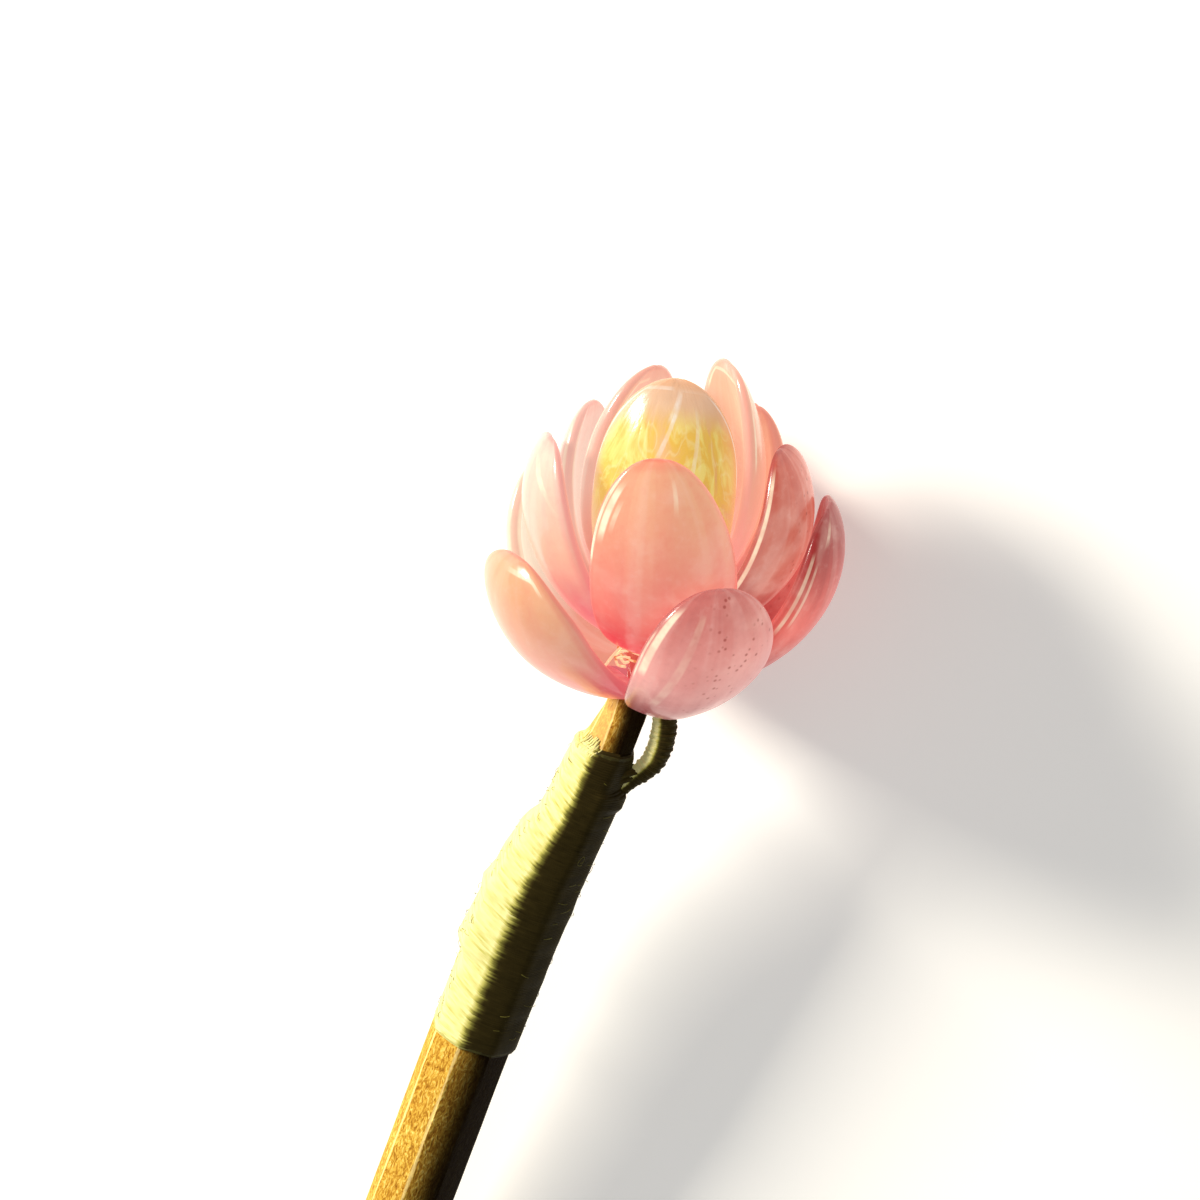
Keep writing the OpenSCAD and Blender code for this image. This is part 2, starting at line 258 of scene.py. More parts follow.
def stick_place(back, angle, reach, extra=0.0):
    """A place round the stick: reach is 1 at the middle of a flat, and extra lies outside it."""
    sideways, upwards, left = [np.interp(back, STICK[:, 0], STICK[:, k]) for k in (1, 2, 3)]
    half = stick_width / 2
    return np.stack([
        stick_length - back + np.zeros_like(angle),
        left - (sideways * half + extra) * reach * np.sin(angle),
        (upwards * half + extra) * reach * np.cos(angle)], axis=-1)


def ring_faces(rows, sides):
    """The faces between closed rings of places, and a fan at each end."""
    walls = [(i * sides + j, i * sides + (j + 1) % sides, (i + 1) * sides + (j + 1) % sides,
              (i + 1) * sides + j) for i in range(rows - 1) for j in range(sides)]
    last = (rows - 1) * sides
    first_fan = [((j + 1) % sides, j, rows * sides) for j in range(sides)]
    last_fan = [(last + j, last + (j + 1) % sides, rows * sides + 1) for j in range(sides)]
    return walls + first_fan + last_fan


def skin(name, rings, tip, material, marks=(), crease=180):
    """Makes one piece of rings of places on the stick, closed at both ends, and lets it ride."""
    rows, sides = rings.shape[:2]
    places = np.concatenate([rings.reshape(-1, 3), rings[0].mean(0)[None], tip[None]])
    mesh = bpy.data.meshes.new(name)
    mesh.from_pydata(on_stick(places).tolist(), [], ring_faces(rows, sides))
    for mark, values in dict(marks).items():
        ends = [values[0].mean(), values[-1].mean()]
        held = mesh.attributes.new(mark, "FLOAT", "POINT")
        held.data.foreach_set("value", np.concatenate([values.ravel(), ends]).astype(np.float32))
    work = bmesh.new()
    work.from_mesh(mesh)
    bmesh.ops.recalc_face_normals(work, faces=work.faces)
    work.to_mesh(mesh)
    work.free()
    mesh.shade_smooth()
    mesh.set_sharp_from_angle(angle=math.radians(crease))
    mesh.materials.append(material)
    made = bpy.data.objects.new(name, mesh)
    bpy.context.scene.collection.objects.link(made)
    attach(made, "root")
    return made


def object_places(start, scale=(1, 1, 1), turn=(0, 0, 0)):
    """The object's own coordinates in metres, turned, and scaled along each way."""
    own = start.node("ShaderNodeTexCoord", output="Object")
    return start.node("ShaderNodeMapping", {}, {"Vector": own, "Rotation": turn, "Scale": scale})


def noise(start, vector, scale, detail=3.0, roughness=0.5, distortion=0.0):
    """Soft noise from 0 to 1, of about this many grains a metre."""
    return start.node("ShaderNodeTexNoise", {}, {
        "Vector": vector, "Scale": scale, "Detail": detail, "Roughness": roughness,
        "Distortion": distortion})


wood, start = new_finish("oiled_wood")
along_grain = object_places(start, (0.42, 1, 1), (0, math.asin(onward[2]), 0))
fibre = noise(start, along_grain, 1500, 4, 0.62, 2.6)
fleck = noise(start, along_grain, 3400, 2, 0.5, 1.2)
cloud = noise(start, along_grain, 260, 2, 0.5)
grain = (fibre * 0.62 + fleck * 0.38).ramp(
    (0.34, "#72460f"), (0.45, "#a67626"), (0.54, "#caa240"), (0.64, "#e6ca72"))
shaded = (cloud.rise(0.35, 0.65) * 0.2).tint(grain, paint("#b07a24"))
# this mark is 0 on golden wood, 1 where painted shade darkens the right side almost to black, and -2 on the
# head's left, where painted light makes it paler
heartwood = start.mark("heartwood")
shaded = ((1 - heartwood.rise(-1.9, -1.1)) * 0.5).tint(shaded, paint("#caa468"))
shaded = (heartwood.rise(0.0, 1.0) * 0.97).tint(shaded, paint("#120802"))
edge = start.mark("bevel").rise(0.2, 0.9)
# painted highlight: the bevels are pale except where painted shade darkens the right side
bevel_highlight = edge * (1 - heartwood.rise(0.2, 0.6)) * 0.6
cover(start, {"Base Color": bevel_highlight.tint(shaded, paint("#fbe39a")), "Roughness": 0.6 - edge * 0.2,
              "Normal": (fibre + fleck * 0.6).bump(0.6, 0.00015), "Specular IOR Level": 0.03})

# The head's flats turn by head_twist over its length. Its end is cut aslant by head_slant, which
# grows from head_rim to head_top. All three places are distances back, like those in STICK.
head_top = -1.2
head_rim = 0.7
head_length = 4.2
head_twist = math.radians(-16)
head_slant = 0.2
backs = np.unique(np.concatenate([STICK[:, 0], np.linspace(head_top, 20, 65),
                                  np.linspace(20, stick_length, 146)]))
twist = head_twist * np.interp(backs, [head_top, head_rim, head_length],
                               [1 - head_top / head_length, 1 - head_rim / head_length, 0])
flat_half = math.tan(math.radians(22.5))
section = []
bevel_mark = []
degrees_round = []
for flat in range(8):
    # each corner is cut by two narrow faces, whose width wavers along the stick
    cut = bevel_width / stick_width * (
        1 + 0.35 * np.sin(backs * 0.37 + flat * 2.1) + 0.25 * np.sin(backs * 0.83 + flat * 4.4))
    right_side = [flat_half - 2.2 * cut, flat_half - 1.25 * cut, flat_half - cut]
    offsets = [-side for side in right_side[::-1]] + [np.zeros_like(cut)] + right_side
    for k, offset in enumerate(offsets):
        high = 1 + crown * (1 - (offset / flat_half) ** 2)
        around = flat_turn + flat * math.pi / 4 + np.arctan(offset) + twist
        section.append((around, np.hypot(1, offset) * high))
        bevel_mark.append(0.5 if k in (0, 6) else 0.0)
        degrees_round.append(flat * 45 + math.degrees(flat_turn + math.atan(offset[0])))
    corner = flat_turn + (flat + 0.5) * math.pi / 4 + twist
    section.append((corner, math.hypot(1, flat_half) - 0.40 * cut))
    bevel_mark.append(1.0)
    degrees_round.append((flat + 0.5) * 45 + math.degrees(flat_turn))
stick_rings = np.stack([stick_place(backs, angle, reach) for angle, reach in section], axis=1)
slant = head_slant * np.interp(backs, [head_top, head_rim], [1, 0])
stick_rings[:, :, 0] += slant[:, None] * np.cos(np.stack([angle for angle, reach in section], axis=1))
# painted shade darkens the wood on the right; painted light makes its head paler on the left, and the head's
# painted shade starts sooner
head_foot = 5.5
round_right = (np.array(degrees_round) + 180) % 360 - 180
on_stick_mark = np.interp(round_right, [-150, -105, -12, -8, 28, 78, 112, 150],
                          [0.4, -1, -1, 0.25, 1, 1, 0.55, 0.4])
on_head_mark = np.interp(round_right, [-150, -105, -12, -9, 8, 20, 78, 112],
                         [0.4, -2, -2, 0.0, 0.45, 1, 1, 0.55])
stick = skin("carved_stick", stick_rings, stick_rings[-1].mean(0), wood,
             {"bevel": np.tile(bevel_mark, (len(backs), 1)),
              "heartwood": np.where(backs[:, None] < head_foot, on_head_mark, on_stick_mark)},
             crease=35)
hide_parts("stick")

# The winding: olive silk thread laid turn by turn round the head, about forty millimetres of it,
# over a sleeve of the same silk; both are pale on the left with painted light and dark on the
# right with painted shade. It is thicker over knots on its left side. A few loose fibres stand
# off it, and its topmost turns fray over the wood.
silk_from = 39.3
silk_to = 4.3
silk_thickness = 0.45
thread_radius = 0.24
thread_pitch = 0.20
thread_rounding = 0.30
thread_sunk = 0.165
turn_points = 48
WINDING = np.array([
    # back, left, right
    [silk_to, -0.25, -0.10],
    [4.6, -0.15, 0.00],
    [7.6, 0.00, 0.00],
    [8.1, 0.00, 0.00],
    [8.7, 0.00, 0.80],
    [9.9, 0.00, 0.80],
    [10.6, 0.00, 0.45],
    [13.3, 0.00, 0.35],
    [14.4, 0.35, 0.30],
    [15.4, 0.48, 0.25],
    [16.6, 0.30, 0.20],
    [18.6, 0.15, 0.20],
    [20.6, 0.05, 0.10],
    [22.6, 0.40, 0.15],
    [24.2, 0.12, 0.05],
    [27.3, 0.49, 0.00],
    [29.4, 0.72, 0.00],
    [30.4, -0.12, 0.05],
    [34.6, -0.12, 0.00],
    [38.6, -0.10, 0.05],
    [silk_from, -0.25, 0.00],
])


def silk_place(back, angle, rounding, proud):
    """A place on the wound silk, whose corners are rounder than the wood's."""
    off = (angle - flat_turn) % (math.pi / 4)
    off = np.minimum(off, math.pi / 4 - off)
    reach = 1 + (1 / np.cos(off) - 1) * (1 - rounding)
    left = np.interp(back, WINDING[:, 0], WINDING[:, 1])
    right = np.interp(back, WINDING[:, 0], WINDING[:, 2])
    extra = silk_thickness + proud + np.where(np.sin(angle) > 0, right, left) * np.sin(angle) ** 2
    return stick_place(back, angle, reach, extra)


threads = bpy.data.node_groups.new("threads_along_paths", "GeometryNodeTree")
for label, kind in (("Paths", "NodeSocketGeometry"), ("Thread radius", "NodeSocketFloat"),
                    ("Sides", "NodeSocketInt"), ("Waver", "NodeSocketFloat"), ("Grain", "NodeSocketFloat"),
                    ("Seed", "NodeSocketFloat"), ("Finish", "NodeSocketMaterial")):
    threads.interface.new_socket(label, in_out="INPUT", socket_type=kind)
threads.interface.new_socket("Thread", in_out="OUTPUT", socket_type="NodeSocketGeometry")
given = Signal(threads).node("NodeGroupInput")
line = given.node("GeometryNodeMeshToCurve", {}, {"Mesh": given})
stray = given.node("ShaderNodeTexNoise", {"noise_dimensions": "4D"}, {
    "Vector": given.node("GeometryNodeInputPosition"), "W": given.also("Seed"),
    "Scale": given.also("Grain"), "Detail": 1.0}, "Color")
centred = given.node("ShaderNodeVectorMath", {"operation": "SUBTRACT"}, {0: stray, 1: (0.5, 0.5, 0.5)})
offset = given.node("ShaderNodeVectorMath", {"operation": "SCALE"},
                    {0: centred, "Scale": given.also("Waver")})
laid = given.node("GeometryNodeSetPosition", {}, {"Geometry": line, "Offset": offset})
rim = given.node("GeometryNodeCurvePrimitiveCircle", {}, {
    "Resolution": given.also("Sides"), "Radius": given.also("Thread radius")})
tube = given.node("GeometryNodeCurveToMesh", {},
                  {"Curve": laid, "Profile Curve": rim, "Fill Caps": True})
smooth = given.node("GeometryNodeSetShadeSmooth", {}, {"Geometry": tube})
whole = given.node("GeometryNodeRealizeInstances", {}, {"Geometry": smooth})
covered = given.node("GeometryNodeSetMaterial", {}, {"Geometry": whole, "Material": given.also("Finish")})
given.node("NodeGroupOutput", {}, {"Thread": covered})


def run_threads(name, paths, radius, material, sides=6, waver=0.0, grain=600.0, seed=1.0, pale=0.4):
    """Draws thread or wire along paths of places on the stick, as one piece, and lets it ride."""
    places, edges, turns = [], [], []
    for path in paths:
        first = len(places)
        places += on_stick(path).tolist()
        edges += [(first + k, first + k + 1) for k in range(len(path) - 1)]
        turns += [first * 0.37 + k / turn_points for k in range(len(path))]
    chain = bpy.data.meshes.new(name + "_paths")
    chain.from_pydata(places, edges, [])
    chain.attributes.new("turn", "FLOAT", "POINT").data.foreach_set("value", turns)
    # the pale mark carries painted light: near 1 in full light and near 0 in painted shade
    pales = (pale + np.zeros(len(places))).astype(np.float32)
    chain.attributes.new("pale", "FLOAT", "POINT").data.foreach_set("value", pales)
    made = bpy.data.objects.new(name, chain)
    bpy.context.scene.collection.objects.link(made)
    modifier = made.modifiers.new("threads", "NODES")
    modifier.node_group = threads
    wanted = {"Thread radius": radius * mm, "Sides": sides, "Waver": waver * mm, "Grain": grain,
              "Seed": seed, "Finish": material}
    for item in threads.interface.items_tree:
        if item.name in wanted:
            modifier[item.identifier] = wanted[item.name]
    built = made.evaluated_get(bpy.context.evaluated_depsgraph_get())
    mesh = bpy.data.meshes.new_from_object(built)
    made.modifiers.clear()
    made.data = mesh
    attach(made, "root")
    return made


silk, start = new_finish("olive_silk")
# how often the silk's shade changes round a turn
shades_per_turn = 6.3
shade = noise(start, start.vector(X=start.mark("turn") * shades_per_turn), 1.0, 2, 0.6)
fine = noise(start, object_places(start), 700, 2, 0.6)
# the pale mark is painted light and shade, mixed with random streaks: near-black olive in painted shade, pale
# where the light falls
light_and_streaks = start.mark("pale") * (0.35 + shade * 1.3) + (shade - 0.5) * 0.12 + (fine - 0.5) * 0.1
silk_colour = light_and_streaks.ramp((0.0, "#161107"), (0.22, "#382f15"), (0.45, "#67632c"), (0.66, "#a9a354"),
                            (0.95, "#cac58a"))
# the emission is a painted glow on the silk
cover(start, {"Base Color": silk_colour, "Roughness": 0.4 + shade * 0.15,
              "Normal": fine.bump(0.25, 0.00005),
              "Specular IOR Level": 0.05, "Specular Tint": paint("#fff6a0"),
              "Emission Color": silk_colour, "Emission Strength": 0.24})
silk_under, start = new_finish("olive_silk_under")
fine = noise(start, object_places(start), 2500, 2, 0.6)
own = start.node("ShaderNodeTexCoord", output="Object")
# painted light: the sleeve is pale on its left, and dark in painted shade elsewhere
on_left = start.node("ShaderNodeSeparateXYZ", {}, {"Vector": own}, "Y").rise(0.0006, 0.0016)
shadow_side = fine.tint(paint("#2a2410"), paint("#5c5828"))
cover(start, {"Base Color": (on_left * 0.8).tint(shadow_side, paint("#b8b264")),
              "Roughness": 0.6, "Specular IOR Level": 0.2})


def under_threads(node):
    """Gives a solid that stays under its threads the under-silk, pale with painted light on its left."""
    finishes = frame["nodes"][node].data.materials
    finishes.clear()
    finishes.append(silk_under)


under_threads("winding")

count = int((silk_from - silk_to + 0.2) / thread_pitch) * turn_points
run = np.arange(count + 1)
angle = flat_turn + math.pi / 8 + 2 * math.pi * run / turn_points
back = silk_from + 0.1 - run / turn_points * thread_pitch
ends = np.interp(back, [silk_to - 0.1, silk_to + 0.5, silk_from - 0.5, silk_from + 0.1], [-0.16, 0, 0, -0.16])
# the turns lie aslant on the left, and square to the stick at both ends
aslant = np.interp(back, [silk_to, silk_to + 4, silk_from - 3.5, silk_from - 0.2], [0, 1, 1, 0])
back += (0.05 * np.sin(back * 3.1) + 1.1 * np.sin(angle + 0.9)) * aslant
# painted light: pale from the upper left edge of the flats round to the lower left, with a ragged limit, and
# painted shade, a little paler on some flats, round the rest
chance = np.random.RandomState(11)
ragged = np.interp(run / turn_points, np.arange(0, 200, 2.3), chance.uniform(-2.5, 2.5, 87))
ragged = ragged + chance.uniform(-2.5, 2.5, 201)[(run / turn_points).astype(int)]
round_left = (np.degrees(-angle) + ragged - np.interp(back, [4, 14, 24], [15, 13, 10.5])) % 360
pale = 0.86 * np.interp(round_left, [0, 9, 110, 170, 351, 360], [0.5, 1, 1, 0.25, 0.0, 0.5])
pale += np.interp((np.degrees(angle) + 20) % 360, [0, 15, 54, 80, 125, 200, 359, 360],
                  [0.1, 0.14, 0.1, 0, 0.14, 0.16, 0, 0.1])
turns_path = silk_place(back, angle, thread_rounding, ends - thread_sunk)
run_threads("silk_turns", [turns_path], thread_radius, silk, sides=7, waver=0.06,
            grain=1100, seed=4.0, pale=pale)
loose_fibres = 110
fibre_radius = 0.028
wound_radius = 4.3
fuzz = []
for _ in range(loose_fibres):
    reach = chance.uniform(0.3, 1.3)
    bend = np.linspace(0, 1, 6)
    begin = math.radians(chance.uniform(-130, -60) if chance.rand() < 0.75 else chance.uniform(20, 120))
    begin_back = chance.uniform(silk_to + 1, silk_from - 0.5)
    fuzz.append(silk_place(
        begin_back + bend * chance.uniform(-0.5, 0.5), begin + bend * reach / wound_radius,
        0.22, 0.04 + chance.uniform(0.05, 0.32) * np.sin(bend * chance.uniform(1.5, 3.0))))
# one fibre curls up on the right
bend = np.linspace(0, 2 * math.pi * 1.15, 26)
fuzz.append(silk_place(15.7 + 0.45 * np.cos(bend) + 0.05 * bend, 0.80 + 0.085 * np.sin(bend), 0.22,
                       0.12 + 0.06 * np.sin(bend * 2)))
run_threads("silk_fuzz", fuzz, fibre_radius, silk, sides=4)
# a few turns' ends fray over the wood at the top of the winding's left side
frayed_ends = 70
frayed_radius = 0.085
frayed = []
for _ in range(frayed_ends):
    bend = np.linspace(0, 1, 7)
    begin = math.radians(chance.uniform(-115, -16))
    frayed.append(silk_place(5.0 - bend * chance.uniform(0.8, 1.9),
                             begin + bend * chance.uniform(-0.10, 0.16), 0.2,
                             0.02 - bend * 0.30 + chance.uniform(0.0, 0.1) * np.sin(bend * 3)))
# the frayed ends are pale with painted light
run_threads("silk_ends", frayed, frayed_radius, silk, sides=5, pale=0.85)

# The stem: wire bound with the same silk. It leaves the winding on the right of the head, bends
# round and carries the flower from below. Its turns lie less evenly than the winding's, and
# short threads tie its foot to the winding.
stem_diameter = 2.3
stem_pitch = 0.22
stem_thread_radius = 0.19
foot_thread_radius = 0.17
foot_threads = 64
STEM = np.array([
    # on, left, share of the stem's radius; its first end runs in under the winding's turns
    [-8.1, -4.80, 0.52],
    [-7.5, -5.17, 0.52],
    [-6.7, -5.47, 0.66],
    [-5.7, -6.00, 0.85],
    [-4.0, -6.68, 0.97],
    [-2.0, -6.70, 1.00],
    [-0.4, -6.40, 1.00],
    [0.6, -6.05, 0.92],
    [1.2, -5.60, 0.82],
    [1.3, -5.00, 0.70],
])


def smooth_line(table, count):
    """Places on a smooth line through a table's rows, evenly by length."""
    rows = np.concatenate([[2 * table[0] - table[1]], table, [2 * table[-1] - table[-2]]])
    s = np.linspace(0, len(table) - 1, 400)
    i = np.minimum(s.astype(int), len(table) - 2)
    t = (s - i)[:, None]
    a, b, c, d = rows[i], rows[i + 1], rows[i + 2], rows[i + 3]
    line = 0.5 * (2 * b + (c - a) * t + (2 * a - 5 * b + 4 * c - d) * t ** 2
                  + (3 * b - a - 3 * c + d) * t ** 3)
    reach = np.concatenate([[0], np.cumsum(np.linalg.norm(np.diff(line[:, :2], axis=0), axis=1))])
    return np.stack([np.interp(np.linspace(0, reach[-1], count), reach, column)
                     for column in line.T], axis=1), reach[-1]


_, stem_run = smooth_line(STEM, 2)
stem_turns = int(stem_run / stem_pitch)
stem_line, _ = smooth_line(STEM, stem_turns * turn_points)
run = np.arange(len(stem_line))
angle = 2 * math.pi * run / turn_points
way = np.gradient(stem_line[:, :2], axis=0)
way /= np.linalg.norm(way, axis=1)[:, None]
bulge = 1 + 0.05 * np.sin(run / turn_points * 1.9) + 0.04 * np.sin(run / turn_points * 3.7)
radius = stem_diameter / 2 * stem_line[:, 2] * bulge - 0.06
stem_path = np.stack([
    stick_length + stem_line[:, 0] - way[:, 1] * radius * np.cos(angle),
    stem_line[:, 1] + way[:, 0] * radius * np.cos(angle),
    radius * np.sin(angle)], axis=1)
# painted light: a pale strip round the stem's left, painted shade round the rest
pale = 0.20 + 1.05 * np.clip(np.cos(angle - 0.25) * 2.5 - 0.85, 0, 1)
run_threads("stem_turns", [stem_path], stem_thread_radius, silk, waver=0.08,
            grain=900, seed=7.0, pale=pale)
# threads that tie the stem's foot to the winding fill the notch between the two
foot_ties = []
for share in np.linspace(0, 1, foot_threads):
    tied_back = 5.4 + 1.6 * share
    at_winding = silk_place(tied_back + 0.5, math.radians(90 + 26 * math.sin(share * 40)), 0.3, -0.1)
    middle = np.interp(-tied_back, STEM[:, 0], STEM[:, 1])
    at_stem = [stick_length - tied_back + 0.2, middle, 0.7 * math.sin(share * 52)]
    reach = np.linspace(0, 1, 8)[:, None]
    foot_ties.append(np.array(at_winding) * (1 - reach) + np.array(at_stem) * reach)
# the foot's threads are dark with painted shade
run_threads("stem_foot", foot_ties, foot_thread_radius, silk, waver=0.05, grain=900,
            seed=9.0, pale=0.2)
under_threads("stem")

# The post: wires twisted together and bedded in rose resin. The petals hide it but for a
# glimpse between two outer petals. The tie: two turns of copper wire over the petals' roots,
# and loose strands that stand out where the petals part.
flower_turn = math.radians(14)
flower_lift = math.radians(4.6)
turn_cos, turn_sin = math.cos(flower_turn), math.sin(flower_turn)
lift_cos, lift_sin = math.cos(flower_lift), math.sin(flower_lift)
flower_ways = np.array([
    [-lift_sin * turn_cos, -lift_sin * turn_sin, lift_cos],
    [turn_sin, -turn_cos, 0],
    [lift_cos * turn_cos, lift_cos * turn_sin, lift_sin]])


def in_flower(places):
    """Places on the stick, from places across, to the right and along the flower's axis."""
    return flower_seat + np.asarray(places) @ flower_ways


resin, start = new_finish("rose_resin")
mottle = noise(start, object_places(start), 900, 2)
# the emission is a painted glow
cover(start, {"Base Color": mottle.tint(paint("#c8605c"), paint("#e88a80")), "Roughness": 0.25,
              "Subsurface Weight": 0.3, "Subsurface Radius": (1, 0.4, 0.3), "Subsurface Scale": 0.001,
              "Coat Weight": 0.5, "Emission Color": paint("#e07a74"), "Emission Strength": 0.2})
POST = np.array([
    # height, radius
    [0.0, 1.75],
    [4.3, 1.75],
    [4.5, 2.35],
    [5.8, 2.35],
    [6.0, 1.75],
    [12.4, 1.75],
])
post_strands = 7
post_twist = 0.55
heights = np.unique(np.concatenate([POST[:, 0], np.linspace(POST[0, 0], POST[-1, 0], 90)]))[:, None]
angles = np.linspace(0, 2 * math.pi, 84, endpoint=False)[None]
r = np.interp(heights, POST[:, 0], POST[:, 1])
r = r * (0.92 + 0.08 * np.abs(np.cos((angles + heights * post_twist) * post_strands / 2)))
post_rings = np.stack([r * np.cos(angles), r * np.sin(angles), np.broadcast_to(heights, r.shape)], axis=-1)
post = skin("twisted_post", in_flower(post_rings), in_flower([0, 0, POST[-1, 0]]), resin,
            crease=50)
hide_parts("wire_core")

copper, start = new_finish("copper_wire")
brushed = noise(start, object_places(start), 700, 2)
# painted highlights as random cream patches on the copper; the emission is a painted glow
copper_and_glints = brushed.rise(0.38, 0.56).tint(paint("#c87834"), paint("#fff0c0"))
cover(start, {"Base Color": copper_and_glints, "Metallic": 0.5, "Roughness": 0.16 + brushed * 0.2,
              "Emission Color": copper_and_glints, "Emission Strength": 0.5})
tie_radius = 2.85
tie_wire = 0.14
tie_paths = []
for k, (rise, slant, phase) in enumerate([(4.9, 0.3, 0.3), (5.4, -0.35, 1.9)]):
    a = np.linspace(0, 2 * math.pi * 1.1, 90) + phase
    r = tie_radius + 0.18 * np.sin(2 * a + k) + 0.06 * k
    height = rise + slant * np.sin(a - 0.6)
    tie_paths.append(in_flower(np.stack([r * np.cos(a), r * np.sin(a), height], axis=1)))
LOOSE_WIRES = [
    # azimuth, radius and height of a few places along each loose strand
    [(-42, 6.0, 3.5), (-45, 5.2, 4.2), (-47, 4.4, 4.9), (-42, 3.9, 5.8), (-34, 3.8, 6.5)],
    [(-62, 4.2, 6.8), (-48, 4.1, 6.7), (-34, 4.0, 6.85)],
    [(-52, 3.8, 4.8), (-40, 3.8, 5.6), (-24, 3.8, 6.1), (-14, 3.7, 6.1)],
    [(-48, 3.8, 4.7), (-33, 3.7, 5.2), (-22, 3.6, 5.3)],
    [(-48, 3.8, 4.6), (-42, 3.7, 4.1), (-28, 3.6, 4.2)],
    [(-38, 3.7, 4.9), (-31, 3.6, 4.6), (-24, 3.5, 4.8)],
]
for rows in LOOSE_WIRES:
    table = np.array([(r * math.cos(math.radians(a)), r * math.sin(math.radians(a)), h)
                      for a, r, h in rows])
    tie_paths.append(in_flower(smooth_line(table, 24)[0]))
tie = run_threads("copper_tie", tie_paths, tie_wire, copper, sides=8, waver=0.03, grain=500)
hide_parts("wire_tie")

# The heart: a yellow glass bead with soft upright lobes, streaked with white and orange. It
# stands on the post inside the inner petals.
HEART = np.array([
    # height, radius
    [12.6, 2.0],
    [14.0, 3.2],
    [16.5, 4.4],
    [19.5, 5.0],
    [22.5, 5.1],
    [25.5, 4.5],
    [28.2, 3.4],
    [30.2, 2.1],
    [31.3, 0.9],
])
heart_lobes = 5
lobe_depth = 0.16
flutes = 13
flute_depth = 0.03
angles = np.linspace(0, 2 * math.pi, 120, endpoint=False)
body, _ = smooth_line(HEART, 60)
lobed = (1 - lobe_depth * np.abs(np.sin(angles * heart_lobes / 2)) ** 6
         - flute_depth * np.sin(angles * flutes))
r = body[:, 1][:, None] * lobed
heights = np.broadcast_to(body[:, :1], r.shape)
heart_rings = np.stack([r * np.cos(angles), r * np.sin(angles), heights], axis=-1)
yellow_glass, start = new_finish("yellow_glass")
upright = object_places(start, (0.16, 1, 1), (0, 0, -flower_turn))
streak = noise(start, upright, 1500, 3, 0.55, 0.6)
patch = noise(start, object_places(start), 160, 2)
gold = streak.ramp((0.30, "#e8a02c"), (0.45, "#f5c73a"), (0.56, "#fbe27a"), (0.66, "#fff8dc"))
gold = patch.rise(0.4, 0.7).tint(gold, paint("#fae07c"))
# the emission is a painted glow standing in for light through the glass
cover(start, {"Base Color": gold, "Roughness": 0.2, "Subsurface Weight": 0.3,
              "Subsurface Radius": (1, 0.7, 0.2), "Subsurface Scale": 0.003, "Coat Weight": 0.6,
              "Emission Color": gold, "Emission Strength": 0.45})
heart = skin("yellow_heart", in_flower(heart_rings), in_flower([[0, 0, HEART[-1, 0] + 0.3]])[0],
             yellow_glass)
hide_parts("heart")

# The petals: lampworked from rose glass, each a cupped leaf with thick round edges whose root
# is bound to the post. The rings overlap like tiles, six outer and six middle petals and three
# upright ones that close round the heart. The one in front of the heart shows the heart's yellow.
petal_thickness = 1.8
petal_steps = 60
face_points = 26
rim_points = 9
# how high a petal's faces lie at their edges, as a share of its half thickness
shoulder = 0.86
crease_width = 0.22
RINGS = {
    # root_r, widest, handle_1, handle_2, rise
    "outer": (2.05, 0.60, 0.56, 1.17, 8.2),
    "middle": (2.05, 0.60, 0.52, 1.19, 10.0),
    "inner": (2.45, 0.64, 0.80, 1.26, 12.0),
}
PETALS = {
    # azimuth, root_h, belly, tip_r, tip_h, half_w, cup, skew, roll, sag, root, blunt
    "petal_outer_1": (31, 1.6, 17.0, 15.6, 18.4, 7.7, 9.5, -1.0, 0, -2.2, 0.14, 0.42),
    "petal_outer_2": (96, 2.4, 18.0, 16.2, 22.4, 8.0, 8.7, 0.0, 8, -0.8, 0.11, 0.28),
    "petal_outer_3": (155, 3.5, 17.2, 15.6, 22.5, 7.1, 8.5, 0.0, 0, 0.2, 0.14, 0.50),
    "petal_outer_4": (213, 1.6, 17.4, 16.0, 21.5, 7.1, 8.5, 0.0, 0, -0.4, 0.14, 0.50),
    "petal_outer_5": (252, 3.4, 14.9, 13.4, 22.4, 6.8, 9.5, 0.0, 5, 0.3, 0.14, 0.50),
    "petal_outer_6": (311, 1.6, 17.4, 16.8, 17.8, 8.4, 9.5, 0.0, 0, 0.1, 0.30, 0.46),
    "petal_middle_1": (15, 6.9, 15.9, 13.0, 30.6, 8.0, 9.0, -3.4, 0, -0.5, 0.12, 0.46),
    "petal_middle_2": (87, 8.0, 15.7, 10.6, 28.2, 6.9, 9.0, 0.3, 14, -0.8, 0.12, 0.48),
    "petal_middle_3": (128, 9.4, 12.3, 9.8, 30.0, 7.0, 9.0, 0.0, 0, 0.7, 0.12, 0.50),
    "petal_middle_4": (185, 7.0, 14.2, 12.0, 28.6, 7.4, 9.0, 0.0, 0, 0.8, 0.12, 0.50),
    "petal_middle_5": (253, 8.8, 11.0, 8.7, 29.4, 6.8, 8.5, 0.0, 0, 1.2, 0.12, 0.50),
    "petal_middle_6": (285, 7.0, 13.8, 11.8, 27.7, 7.4, 9.0, 1.0, -5, 0.8, 0.12, 0.45),
    "petal_inner_1": (5, 11.0, 7.4, 1.6, 34.5, 8.9, 6.8, 0.0, 0, 3.0, 0.12, 0.55),
    "petal_inner_2": (118, 11.3, 9.7, 5.2, 35.4, 7.3, 8.2, -0.2, 0, 2.9, 0.12, 0.42),
    "petal_inner_3": (233, 11.0, 8.6, 3.0, 34.2, 6.9, 7.6, 0.0, 0, 3.0, 0.12, 0.55),
}


